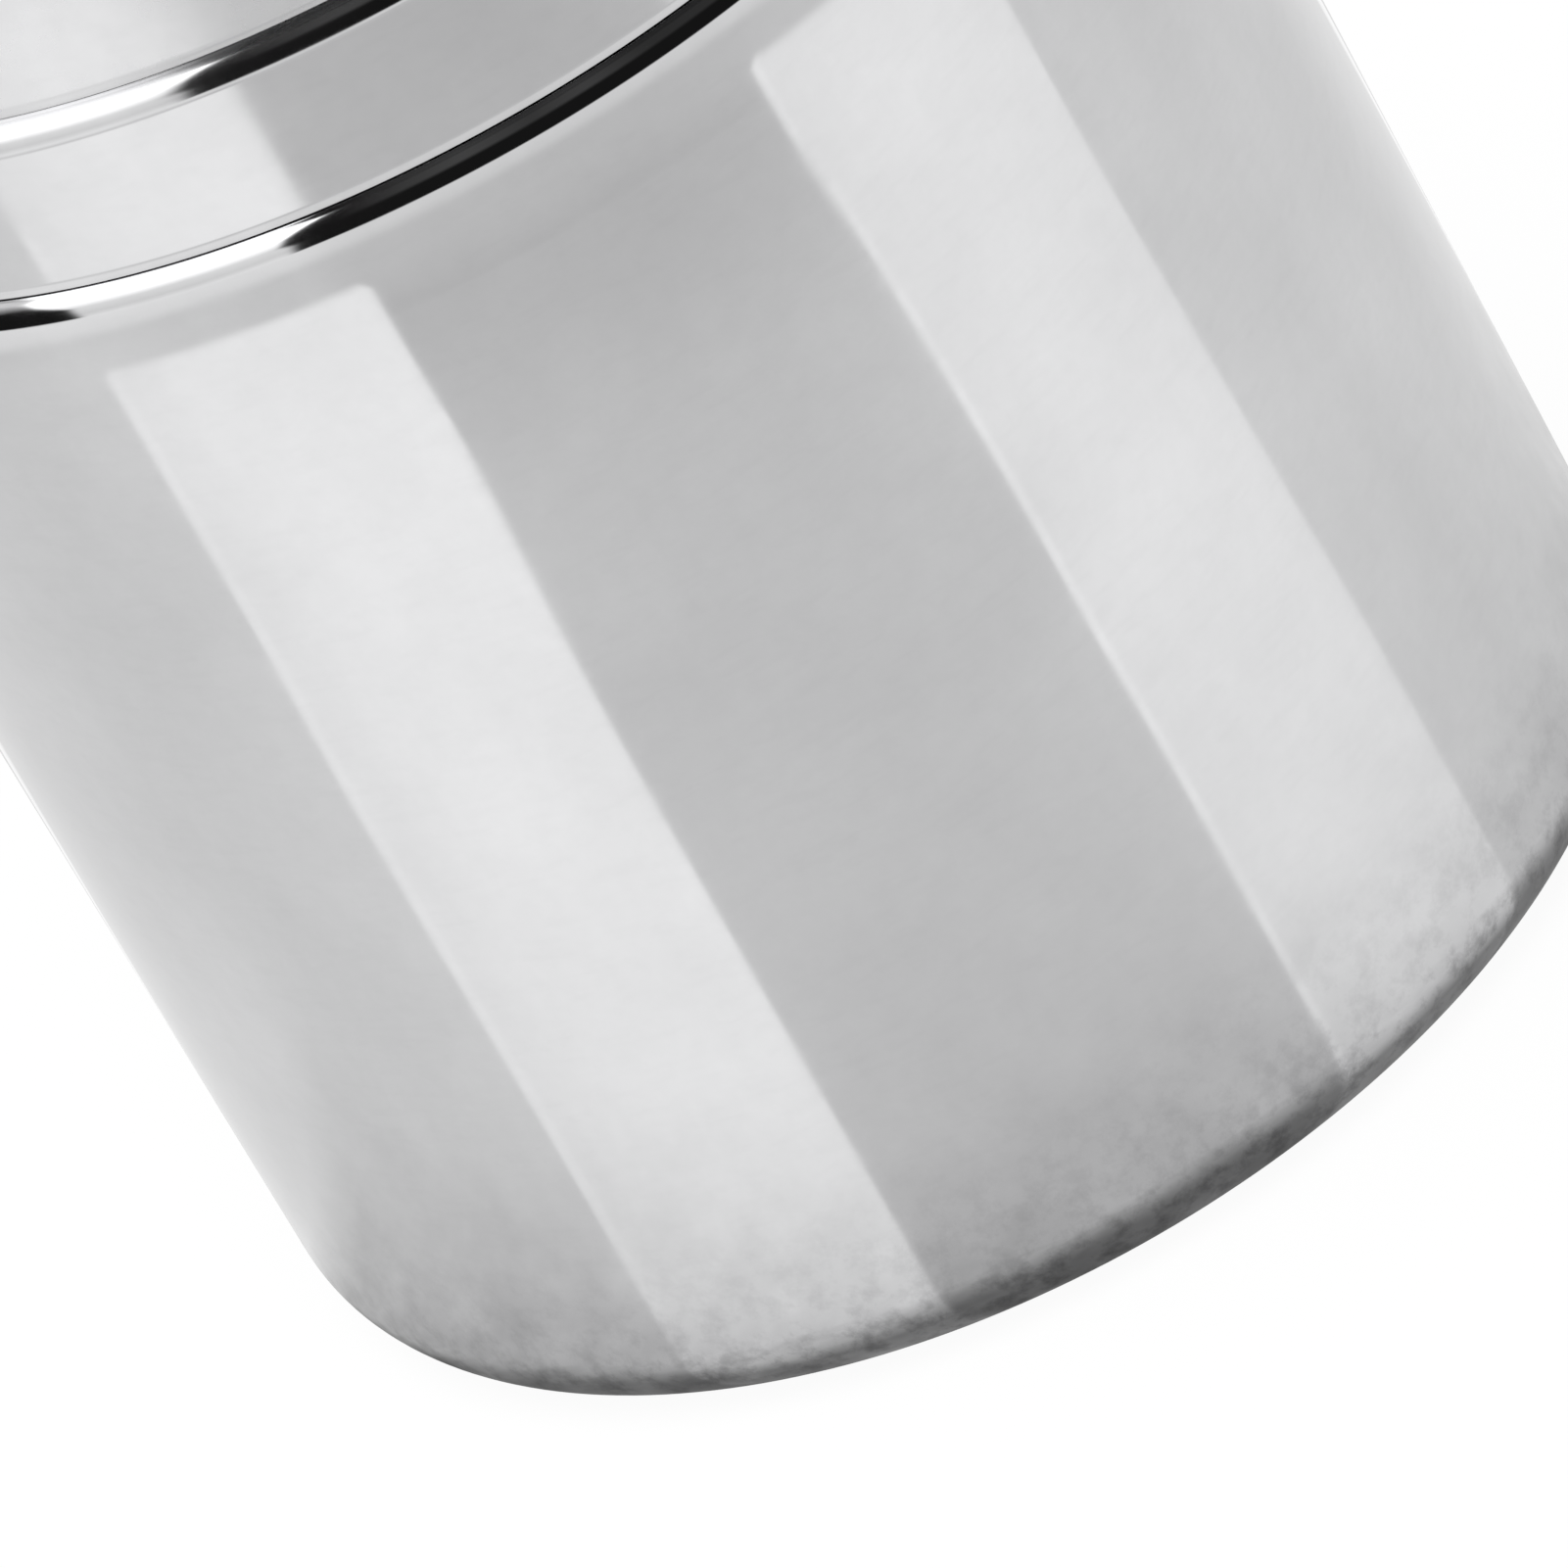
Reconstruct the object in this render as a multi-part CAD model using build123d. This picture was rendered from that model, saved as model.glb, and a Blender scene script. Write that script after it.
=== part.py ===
from build123d import *

import os
from math import asin, atan, cos, degrees, pi, radians, sin, sqrt

# Sugar shaker in polished stainless steel, in millimetres.
# The base stands on Z = 0, the cup's axis is Z, the lid's thumb tab is at -Y
# and its hinge is at +Y.

# Cup: one deep-drawn piece with a neck that carries the screw collar
body_d = 70.0            # outer diameter of the cup
sheet = 0.6              # thickness of the drawn steel
base_round = 4.3         # outer radius of the base edge
shoulder_z = 65.7        # height of the cup's shoulder
shoulder_round = 1.3     # outer radius of the shoulder
draw_in_r = 28.0         # radius of the curve that draws the wall in under the shoulder
draw_in_turn = 9.0       # slope of the wall where the shoulder starts, degrees
neck_step = 5.7          # how far the neck is drawn in from the cup's wall
neck_lip = 1.7           # width of the sealing lip at the top of the neck
base_rib_r = 23.0        # radius of the stiffening groove pressed in the base
base_rib_w = 3.0         # width of that groove
base_rib_h = 0.5         # depth of that groove

# Steps: the collar band stands in from the cup, and the lid from the collar band
collar_step = 1.3        # from the cup's wall to the collar band
lid_step = 1.3           # from the collar band to the lid
edge_gap = 0.05          # air under the lower edges of the collar band and of the lid
edge_round = 0.15        # outer radius of those edges

# Screw collar
collar_h = 8.2           # height of the collar's top above the cup's shoulder
collar_round = 1.3       # outer radius of the collar's top edge
spigot_h = 3.0           # height of the spigot that the lid closes over
spigot_gap = 0.25        # air between the spigot and the lid
mouth_flange = 3.05      # width of the flange that holds the shaker plate down

# Shaker plate
plate_t = 0.5            # thickness of the perforated plate
plate_gap = 0.15         # air round the plate's edge
plate_flat = 1.7         # width of the plate's flat rim inside the flange
plate_rise = 2.4         # height of the plate's crown
hole_d = 3.0             # diameter of a pouring hole
hole_pitch = 6.2         # distance from one ring of holes to the next
hole_rings = 3           # rings of holes round the middle one

# Seal between the neck and the plate
seal_t = 1.2             # thickness of the seal
seal_gap = 0.15          # air over and under the seal
seal_side_gap = 0.15     # air round the seal

# Moulded thread insert, pushed into the collar
insert_fit = 0.05        # air between the insert and the collar
insert_wall = 2.2        # wall of the insert's skirt
insert_lift = 0.9        # height of the skirt's lower edge above the shoulder
insert_shelf = 1.0       # thickness of the shelf over the thread
insert_neck_gap = 0.4    # air between the shelf and the neck

# Quick thread: short ridges on the neck, lugs in the insert
thread_starts = 4
thread_lead = 12.0       # rise of the collar in a full turn
thread_t = 1.0           # height of a ridge and of a lug
thread_air = 0.2         # air between a ridge and the lug under it
thread_side_gap = 0.2    # air at the crest of a ridge and of a lug
ridge_arc = 40.0         # length of a ridge, degrees
lug_arc = 24.0           # length of a lug, degrees
thread_z = 4.6           # height of the ridges' middle above the shoulder

# Lid
lid_wall_h = 8.3         # height of the lid's straight wall
lid_shoulder_r = 8.0     # outer radius where the wall turns into the crown
crown_turn = 65.0        # slope of the shell where the crown starts, degrees

# Hinge
knuckle_r = 1.8          # outer radius of a hinge knuckle
knuckle_gap = 0.2        # air between the knuckles and the bracket's plate
leaf_half_w = 3.0        # half the length of the leaf's knuckle
knuckle_side_gap = 0.15  # air between two knuckles, along the pin
bracket_half_w = 7.0     # half the length of the hinge
pin_r = 0.9              # radius of the hinge pin
pin_fit = 0.05           # radial air of the pin in the leaf
pin_press = 0.01         # radial air of the pin in the bracket
pin_head_r = 1.35        # radius of the peened pin end
pin_head_t = 0.5         # thickness of the peened pin end
hinge_plate_t = 0.9      # thickness of the hinge's two plates
bracket_plate_w = 25.0   # width of the bracket's plate
leaf_plate_w = 16.0      # width of the leaf's plate
hinge_corner = 1.6       # corner radius of the plates
braze_film = 0.03        # film of solder under each plate
bracket_low = 0.95       # bracket plate's lower edge above the shoulder
bracket_top = 1.45       # bracket plate's upper edge below the collar's top
leaf_low = 1.5           # leaf plate's lower edge above the lid's edge
leaf_h = 6.0             # height of the leaf plate

# Rivets of the hinge
rivet_r = 0.85
rivet_fit = 0.05
rivet_head_r = 1.5
rivet_head_h = 0.7
bracket_rivet_x = 9.6    # distance of a bracket rivet from the hinge's middle
leaf_rivet_x = 5.2       # distance of a leaf rivet from the hinge's middle

# Thumb tab
tab_w = 18.0             # width of the tab
tab_t = 1.0              # thickness of the tab
tab_reach = 9.5          # how far the tab stands out from the lid
tab_curl = 1.4           # how far the tab's tip turns up
tab_corner = 6.0         # corner radius of the tab's tip
tab_low = 2.0            # underside of the tab above the lid's edge
tab_plate_h = 4.6        # height of the tab's plate on the lid

# Sizes that follow from the ones above
body_r = body_d / 2
neck_r = body_r - neck_step
collar_r = body_r - collar_step
collar_in = collar_r - sheet
collar_low = shoulder_z + edge_gap
collar_top = shoulder_z + collar_h
lid_r = collar_r - lid_step
lid_in = lid_r - sheet
lid_low = collar_top + edge_gap
lid_wall_top = lid_low + lid_wall_h
spigot_r = lid_in - spigot_gap
spigot_in = spigot_r - sheet
spigot_top = collar_top + spigot_h
mouth_r = spigot_in - mouth_flange
plate_top = spigot_top - sheet
plate_low = plate_top - plate_t
seal_top = plate_low - seal_gap
neck_top = seal_top - seal_t - seal_gap
insert_in = neck_r + insert_neck_gap
skirt_r = collar_in - insert_fit
skirt_in = skirt_r - insert_wall
ridge_tip = skirt_in - thread_side_gap
lug_tip = neck_r + thread_side_gap
bracket_seat = collar_r + braze_film
bracket_face = bracket_seat + hinge_plate_t
leaf_seat = lid_r + braze_film
leaf_face = leaf_seat + hinge_plate_t
axis_y = bracket_face + knuckle_gap + knuckle_r
axis_z = lid_low
bracket_rivet_z = (shoulder_z + bracket_low + collar_top - bracket_top) / 2
leaf_rivet_z = lid_low + leaf_low + leaf_h / 2
reach = 2 * body_d       # longer than anything it has to cut

# The wall's curve and the shoulder's rounding meet in one slope.
draw_in_z = shoulder_z - shoulder_round
draw_in_z -= (draw_in_r - shoulder_round) * sin(radians(draw_in_turn))
shoulder_x = body_r - draw_in_r
shoulder_x += (draw_in_r - shoulder_round) * cos(radians(draw_in_turn))


def arc(centre, radius, start, end):
    """Three points on an arc, from one angle in degrees to another."""
    angles = (start, (start + end) / 2, end)
    return [
        (centre[0] + radius * cos(radians(a)), centre[1] + radius * sin(radians(a)))
        for a in angles
    ]


def outline(*steps):
    """Closed face through points and arcs, which are joined by straight lines."""
    edges = []
    stops = [step if isinstance(step, list) else [step] for step in steps]
    here = stops[-1][-1]
    for stop in stops:
        if Vector(*here).sub(Vector(*stop[0])).length > 1e-6:
            edges.append(Line(here, stop[0]))
        if len(stop) == 3:
            edges.append(ThreePointArc(*stop))
        here = stop[-1]
    return make_face(edges)


def turned(face):
    """The solid that a face in X and height makes when it turns round the Z axis."""
    return revolve(Plane.XZ * face, Axis.Z)


def tube(outer, inner, low, high):
    return turned(outline((inner, low), (outer, low), (outer, high), (inner, high)))


def lower_edge(radius, low):
    """The lower edge of a sheet wall, from its inner face to its rounded outer corner."""
    corner = (radius - edge_round, low + edge_round)
    return [[(radius - sheet, low)], arc(corner, edge_round, -90, 0)]


def ridge(inner, outer, length, height):
    """A thread ridge at +X, tilted to the thread's slope."""
    section = outline(
        (inner, -thread_t / 2),
        (outer, -thread_t / 4),
        (outer, thread_t / 4),
        (inner, thread_t / 2),
    )
    flat = Rot(0, 0, -length / 2) * revolve(Plane.XZ * section, Axis.Z, length)
    slope = degrees(atan(thread_lead / (2 * pi * neck_r)))
    return Pos(0, 0, height) * (Rot(slope, 0, 0) * flat)


def round_the_axis(piece, count):
    return [Rot(0, 0, 360 * i / count) * piece for i in range(count)]


def shoulder_arcs(inset):
    """The wall's inward curve and the shoulder's rounding, inset from the outer face."""
    curve = (body_r - draw_in_r, draw_in_z)
    corner = (shoulder_x, shoulder_z - shoulder_round)
    return [
        arc(curve, draw_in_r - inset, 0, draw_in_turn),
        arc(corner, shoulder_round - inset, draw_in_turn, 90),
    ]


def inside_out(arcs):
    """The same arcs, run the other way."""
    return [step[::-1] for step in arcs[::-1]]


def make_body_cup():
    """Cup with a rounded base edge, a shoulder and a neck with thread ridges."""
    t = sheet
    fillet_r = t
    rib_half = base_rib_w / 2
    profile = outline(
        (0, 0),
        (base_rib_r - rib_half, 0),
        (base_rib_r - rib_half / 2, base_rib_h),
        (base_rib_r + rib_half / 2, base_rib_h),
        (base_rib_r + rib_half, 0),
        arc((body_r - base_round, base_round), base_round, -90, 0),
        *shoulder_arcs(0),
        arc((neck_r + fillet_r, shoulder_z + fillet_r), fillet_r, -90, -180),
        arc((neck_r - t, neck_top - t), t, 0, 90),
        (neck_r - neck_lip, neck_top),
        (neck_r - neck_lip, neck_top - t),
        (neck_r - t, neck_top - t),
        (neck_r - t, shoulder_z - t),
        *inside_out(shoulder_arcs(t)),
        arc((body_r - base_round, base_round), base_round - t, 0, -90),
        (base_rib_r + rib_half, t),
        (base_rib_r + rib_half / 2, base_rib_h + t),
        (base_rib_r - rib_half / 2, base_rib_h + t),
        (base_rib_r - rib_half, t),
        (0, t),
    )
    # Each ridge is sunk half a sheet into the neck, so that it is one piece with it.
    one = ridge(neck_r - t / 2, ridge_tip, ridge_arc, shoulder_z + thread_z)
    return turned(profile) + round_the_axis(one, thread_starts)


def make_collar_ring():
    """Collar band with a rounded step, the spigot for the lid and the plate's flange."""
    t = sheet
    corner = (collar_r - collar_round, collar_top - collar_round)
    profile = outline(
        *lower_edge(collar_r, collar_low),
        arc(corner, collar_round, 0, 90),
        (spigot_r, collar_top),
        arc((spigot_r - t, spigot_top - t), t, 0, 90),
        (mouth_r, spigot_top),
        (mouth_r, spigot_top - t),
        (spigot_in, spigot_top - t),
        (spigot_in, collar_top - t),
        arc(corner, collar_round - t, 90, 0),
    )
    return turned(profile) - rivet_holes(bracket_rivet_x, bracket_rivet_z, collar_r)


def make_thread_insert():
    """Skirt with the lugs that hook under the neck's ridges, and a ring under the plate."""
    low = shoulder_z + insert_lift
    step = collar_top - sheet - insert_fit
    ring = turned(
        outline(
            (skirt_in, low),
            (skirt_r, low),
            (skirt_r, collar_top - collar_round),
            (collar_r - collar_round, step),
            (spigot_in - insert_fit, step),
            (spigot_in - insert_fit, plate_low),
            (insert_in, plate_low),
            (insert_in, step - insert_shelf),
            (skirt_in, step - insert_shelf),
        )
    )
    lug_z = shoulder_z + thread_z - thread_t - thread_air
    one = ridge(skirt_in + insert_wall / 2, lug_tip, lug_arc, lug_z)
    return ring + round_the_axis(one, thread_starts)


def make_seal_ring():
    inner = neck_r - neck_lip + seal_side_gap
    return tube(insert_in - seal_side_gap, inner, seal_top - seal_t, seal_top)


def make_shaker_plate():
    """Plate with a flat rim, a low crown and rings of pouring holes."""
    edge = spigot_in - plate_gap
    crown_edge = mouth_r - plate_flat
    crown_r = (crown_edge**2 + plate_rise**2) / (2 * plate_rise)
    turn = degrees(atan(crown_edge / (crown_r - plate_rise)))
    centre = (0, plate_top + plate_rise - crown_r)
    under = (0, centre[1] - plate_t)
    plate = turned(
        outline(
            (edge, plate_low),
            (edge, plate_top),
            arc(centre, crown_r, 90 - turn, 90),
            arc(under, crown_r, 90, 90 - turn),
        )
    )
    hole = Pos(0, 0, plate_top) * Cylinder(hole_d / 2, 4 * plate_rise)
    holes = [hole]
    for ring in range(1, hole_rings + 1):
        one = Pos(ring * hole_pitch, 0, 0) * hole
        holes += round_the_axis(one, 6 * ring)
    return plate - holes


def shell_arcs(inset):
    """The lid's shoulder and crown, inset from its outer face."""
    shoulder = (lid_r - lid_shoulder_r, lid_wall_top)
    join_r = shoulder[0] + lid_shoulder_r * cos(radians(crown_turn))
    join_z = shoulder[1] + lid_shoulder_r * sin(radians(crown_turn))
    crown_r = join_r / cos(radians(crown_turn))
    crown = (0, join_z - crown_r * sin(radians(crown_turn)))
    return [
        arc(shoulder, lid_shoulder_r - inset, 0, crown_turn),
        arc(crown, crown_r - inset, crown_turn, 90),
    ]


def make_lid_shell():
    """Domed lid with a straight wall."""
    shell = shell_arcs(0) + inside_out(shell_arcs(sheet))
    profile = outline(*lower_edge(lid_r, lid_low), *shell)
    return turned(profile) - rivet_holes(leaf_rivet_x, leaf_rivet_z, lid_r)


def curved_plate(width, low, high, seat, side):
    """A plate bent round a wall, at the back (1) or at the front (-1)."""
    ring = tube(seat + hinge_plate_t, seat, low, high)
    slab = extrude(RectangleRounded(width, high - low, hinge_corner), reach / 2)
    turn = Rot(-90, 0, 0) if side > 0 else Rot(90, 0, 0)
    return ring & (Pos(0, 0, (low + high) / 2) * (turn * slab))


def along_x(face, left, right):
    """The solid that a face in Y and height makes from one X to another."""
    return Pos(left, 0, 0) * extrude(Plane.YZ * face, right - left)


def barrel(radius, left, right):
    """A cylinder round the hinge's axis."""
    middle = (left + right) / 2
    return Pos(middle, axis_y, axis_z) * (Rot(0, 90, 0) * Cylinder(radius, right - left))


def radial(piece, across, height, wall):
    """A piece that stands along Z, laid along both rivet lines of a wall's hinge plate."""
    turn = degrees(asin(across / wall))
    laid = Pos(0, 0, height) * (Rot(-90, 0, 0) * piece)
    return [Rot(0, 0, side * turn) * laid for side in (-1, 1)]


def rivet_holes(across, height, wall):
    drill = Cylinder(rivet_r + rivet_fit, reach, align=(Align.CENTER, Align.CENTER, Align.MIN))
    return radial(drill, across, height, wall)


def make_rivets(across, height, wall):
    """Two rivets with domed heads, flush with the wall's inner face."""
    flush = sqrt((wall - sheet) ** 2 - rivet_r**2)
    face = wall + braze_film + hinge_plate_t
    cap_r = (rivet_head_r**2 + rivet_head_h**2) / (2 * rivet_head_h)
    turn = degrees(atan(rivet_head_r / (cap_r - rivet_head_h)))
    one = turned(
        outline(
            (0, flush),
            (rivet_r, flush),
            (rivet_r, face),
            arc((0, face + rivet_head_h - cap_r), cap_r, 90 - turn, 90),
        )
    )
    pair = radial(one, across, height, wall)
    return Compound(children=[rivet.solid() for rivet in pair])


def make_hinge_bracket():
    """Plate on the collar with the two outer knuckles."""
    low = shoulder_z + bracket_low
    high = collar_top - bracket_top
    clear_y = axis_y - knuckle_r
    web = outline(
        (neck_r, low + hinge_plate_t),
        (bracket_face, low + hinge_plate_t),
        (axis_y + knuckle_r, axis_z),
        (clear_y, axis_z),
        (clear_y, high),
        (neck_r, high),
    )
    inner = leaf_half_w + knuckle_side_gap
    bracket = curved_plate(bracket_plate_w, low, high, bracket_seat, 1)
    for left, right in ((-bracket_half_w, -inner), (inner, bracket_half_w)):
        bracket += along_x(web, left, right)
        bracket += barrel(knuckle_r, left, right)
    bracket -= Cylinder(bracket_seat, 2 * reach)
    bracket -= barrel(pin_r + pin_press, -bracket_half_w, bracket_half_w)
    return bracket - rivet_holes(bracket_rivet_x, bracket_rivet_z, collar_r)


def make_hinge_leaf():
    """Plate on the lid with the middle knuckle."""
    low = lid_low + leaf_low
    high = low + leaf_h
    clear_y = axis_y - knuckle_r
    web = outline(
        (clear_y, axis_z),
        (axis_y + knuckle_r, axis_z),
        (leaf_face, high - hinge_plate_t),
        (neck_r, high - hinge_plate_t),
        (neck_r, low),
        (clear_y, low),
    )
    leaf = curved_plate(leaf_plate_w, low, high, leaf_seat, 1)
    leaf += along_x(web, -leaf_half_w, leaf_half_w)
    leaf += barrel(knuckle_r, -leaf_half_w, leaf_half_w)
    leaf -= Cylinder(leaf_seat, 2 * reach)
    leaf -= barrel(pin_r + pin_fit, -leaf_half_w, leaf_half_w)
    return leaf - rivet_holes(leaf_rivet_x, leaf_rivet_z, lid_r)


def make_hinge_pin():
    """Pin with both ends peened over the outer knuckles."""
    pin = barrel(pin_r, -bracket_half_w, bracket_half_w)
    pin += barrel(pin_head_r, bracket_half_w, bracket_half_w + pin_head_t)
    return pin + barrel(pin_head_r, -bracket_half_w - pin_head_t, -bracket_half_w)


def make_thumb_tab():
    """Lip at the front of the lid, with a plate that is brazed to the lid's wall."""
    low = lid_low + tab_low
    tip = -(lid_r + tab_reach)
    bend = (-(leaf_seat + tab_reach / 2), low - tab_curl / 4)
    lip = make_face(
        [
            ThreePointArc((-neck_r, low), bend, (tip, low + tab_curl)),
            Line((tip, low + tab_curl), (tip, low + tab_curl + tab_t)),
            ThreePointArc(
                (tip, low + tab_curl + tab_t),
                (bend[0], bend[1] + tab_t),
                (-neck_r, low + tab_t),
            ),
            Line((-neck_r, low + tab_t), (-neck_r, low)),
        ]
    )
    plan = extrude(RectangleRounded(tab_w, -2 * tip, tab_corner), reach)
    tab = along_x(lip, -tab_w / 2, tab_w / 2) & plan
    tab += curved_plate(tab_w, low, low + tab_plate_h, leaf_seat, -1)
    return tab - Cylinder(leaf_seat, 2 * reach)


def make_all():
    return {
        "body_cup": make_body_cup(),
        "collar_ring": make_collar_ring(),
        "thread_insert": make_thread_insert(),
        "seal_ring": make_seal_ring(),
        "shaker_plate": make_shaker_plate(),
        "hinge_bracket": make_hinge_bracket(),
        "bracket_rivets": make_rivets(bracket_rivet_x, bracket_rivet_z, collar_r),
        "hinge_pin": make_hinge_pin(),
        "lid_shell": make_lid_shell(),
        "hinge_leaf": make_hinge_leaf(),
        "leaf_rivets": make_rivets(leaf_rivet_x, leaf_rivet_z, lid_r),
        "thumb_tab": make_thumb_tab(),
    }


def main():
    os.makedirs("parts", exist_ok=True)
    for node, shape in make_all().items():
        export_step(shape, f"parts/{node}.step")
        print(node, len(shape.solids()), "solids", round(shape.volume, 2), "mm3")
    print("lower edges", round(collar_low, 3), round(lid_low, 3))
    print("hinge axis", round(axis_y, 3), round(axis_z, 3))
    print("neck top", round(neck_top, 3), "plate", round(plate_low, 3), round(plate_top, 3))


main()
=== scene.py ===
from math import cos, pi, radians, sin

import bmesh
import bpy
from mathutils import Matrix, Vector


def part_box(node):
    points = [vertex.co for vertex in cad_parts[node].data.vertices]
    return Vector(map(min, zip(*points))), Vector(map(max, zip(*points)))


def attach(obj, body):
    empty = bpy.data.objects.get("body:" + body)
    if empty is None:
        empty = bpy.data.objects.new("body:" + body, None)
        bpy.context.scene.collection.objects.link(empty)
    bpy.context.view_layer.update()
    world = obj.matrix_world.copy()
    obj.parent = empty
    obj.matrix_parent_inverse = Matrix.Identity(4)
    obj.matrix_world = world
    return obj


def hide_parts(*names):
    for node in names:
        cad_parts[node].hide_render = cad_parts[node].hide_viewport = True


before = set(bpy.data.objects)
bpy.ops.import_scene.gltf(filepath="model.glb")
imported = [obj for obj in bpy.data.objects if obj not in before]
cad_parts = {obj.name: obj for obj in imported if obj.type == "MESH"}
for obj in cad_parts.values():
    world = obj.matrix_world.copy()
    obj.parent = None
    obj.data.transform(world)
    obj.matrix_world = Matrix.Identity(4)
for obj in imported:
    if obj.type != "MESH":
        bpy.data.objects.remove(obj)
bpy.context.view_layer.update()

# Sugar shaker in polished stainless steel. Metres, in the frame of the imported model.
MM = 0.001

# Camera of the photograph
VIEW_SIDE = 38.0         # degrees that the camera stands to the left of the thumb tab
VIEW_UP = 30.1           # degrees above the table
VIEW_RADII = 16.97       # distance from the middle of the base, in cup radii
VIEW_ROLL = -29.64       # degrees that the picture leans
VIEW_PAN = -0.435        # degrees that the camera looks to the right of the base's middle
VIEW_TILT = 1.02         # degrees that it looks above the base's middle
FOCAL_PX = 12781.0       # focal length in pixels of the 1601 pixel frame
FRAME_PX = 1601.0
SENSOR = 36.0            # width of the sensor in mm
CLIP_NEAR = 0.01
CLIP_FAR = 20.0

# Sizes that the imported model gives
cup_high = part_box("body_cup")[1]
collar_low, collar_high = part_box("collar_ring")
lid_low, lid_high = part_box("lid_shell")
body_r = cup_high.x
collar_r = collar_high.x
lid_r = lid_high.x

# Sizes of the drawn steel, as in the solids
SHEET = 0.6 * MM
BASE_ROUND = 4.3 * MM
STEP_ROUND = 1.3 * MM    # rounding of the cup's shoulder and of the collar's top
SHOULDER_Z = 65.7 * MM
DRAW_IN_R = 28.0 * MM    # curve that draws the cup's wall in under the shoulder
DRAW_IN_TURN = 9.0       # degrees of that curve
NECK_STEP = 5.7 * MM     # from the cup's wall in to the neck
NECK_LIP = 1.7 * MM      # how far the neck's top turns in
RIB_R = 23.0 * MM        # stiffening groove in the base
RIB_HALF = 1.5 * MM
RIB_H = 0.5 * MM
COLLAR_H = 8.2 * MM      # top of the collar's band above the cup's shoulder
SPIGOT_GAP = 0.25 * MM   # air between the collar's spigot and the lid
MOUTH_FLANGE = 3.05 * MM  # flange inside the spigot, over the shaker plate's rim
LID_WALL_H = 8.3 * MM
LID_SHOULDER_R = 8.0 * MM
CROWN_TURN = 65.0        # degrees of the lid's shoulder up to its crown

# Lower edges of the collar and the lid, finer than in the solids
EDGE_ROUND = 0.01 * MM   # outer corner
EDGE_DROP = 0.044 * MM   # how much lower than in the solids they reach
FLARE_TURN = 11.0        # degrees that the last of the wall spreads
FLARE_H = 0.24 * MM
FLARE_CURVE = 1.3 * MM   # bend from the wall into that flare

# Fineness of the meshes
TURN_STEPS = 240         # facets round the shaker
MERGE_DIST = 0.0005 * MM
AXIS_R = 1e-9            # points closer than this are on the axis
SHARP_SPUN = 40.0        # degrees above which an edge stays sharp
SHARP_COPIED = 30.0


def arc(centre, radius, start, end, pieces):
    """Points on an arc in radius and height, from one angle in degrees to another."""
    steps = [radians(start + (end - start) * i / pieces) for i in range(pieces + 1)]
    return [(centre[0] + radius * cos(a), centre[1] + radius * sin(a)) for a in steps]


def spin_outline(shape, points):
    """Turns a closed outline of radius and height round the shaker's axis."""
    verts = [shape.verts.new((r, 0, z)) for r, z in points]
    edges = [
        shape.edges.new((verts[i - 1], verts[i]))
        for i in range(len(verts))
        if points[i - 1][0] >= AXIS_R or points[i][0] >= AXIS_R
    ]
    bmesh.ops.spin(
        shape,
        geom=verts + edges,
        cent=(0, 0, 0),
        axis=(0, 0, 1),
        dvec=(0, 0, 0),
        angle=2 * pi,
        steps=TURN_STEPS,
        use_merge=True,
        use_normal_flip=False,
        use_duplicate=False,
    )


def new_piece(name, mesh_maker, body, material, replaces, sharp=SHARP_SPUN):
    """A piece whose mesh a function fills, smooth except at edges sharper than an angle."""
    mesh = bpy.data.meshes.new(name)
    shape = bmesh.new()
    mesh_maker(shape)
    bmesh.ops.remove_doubles(shape, verts=shape.verts, dist=MERGE_DIST)
    bmesh.ops.recalc_face_normals(shape, faces=shape.faces)
    shape.to_mesh(mesh)
    shape.free()
    if mesh.has_custom_normals:
        mesh.attributes.remove(mesh.attributes["custom_normal"])
    mesh.shade_smooth()
    mesh.set_sharp_from_angle(angle=radians(sharp))
    piece = bpy.data.objects.new(name, mesh)
    bpy.context.scene.collection.objects.link(piece)
    mesh.materials.append(material)
    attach(piece, body)
    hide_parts(*replaces)


# Nodes for materials and light


def linear(hex_colour):
    """The linear colour of an sRGB hex value."""
    parts = [int(hex_colour[i:i + 2], 16) / 255 for i in (1, 3, 5)]
    light = [p / 12.92 if p <= 0.04045 else ((p + 0.055) / 1.055) ** 2.4 for p in parts]
    return (*light, 1.0)


def node(tree, kind, inputs=None, **settings):
    """Adds a node with its settings, values and links, and gives its first output."""
    made = tree.nodes.new(kind)
    for key, value in settings.items():
        setattr(made, key, value)
    for key, value in (inputs or {}).items():
        if isinstance(value, bpy.types.NodeSocket):
            tree.links.new(value, made.inputs[key])
        else:
            made.inputs[key].default_value = value
    return made.outputs[0]


def maths(tree, operation, a, b=0.0):
    return node(tree, "ShaderNodeMath", {0: a, 1: b}, operation=operation)


def times(tree, a, b):
    return maths(tree, "MULTIPLY", a, b)


def plus(tree, a, b):
    return maths(tree, "ADD", a, b)


def minus(tree, a, b):
    return maths(tree, "SUBTRACT", a, b)


def degrees_of(tree, over, along):
    return times(tree, maths(tree, "ARCTAN2", over, along), 180 / pi)


def blend(tree, share, a, b):
    """a where share is 0, b where it is 1."""
    return node(tree, "ShaderNodeMix", {0: share, 2: a, 3: b}, data_type="FLOAT")


def colour_mix(tree, share, a, b):
    """The same for colours, each given as a socket or as three numbers."""
    mix = tree.nodes.new("ShaderNodeMix")
    mix.data_type = "RGBA"
    for place, value in ((0, share), (6, a), (7, b)):
        if isinstance(value, bpy.types.NodeSocket):
            tree.links.new(value, mix.inputs[place])
        else:
            mix.inputs[place].default_value = (*value, 1)
    return mix.outputs[2]


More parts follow.
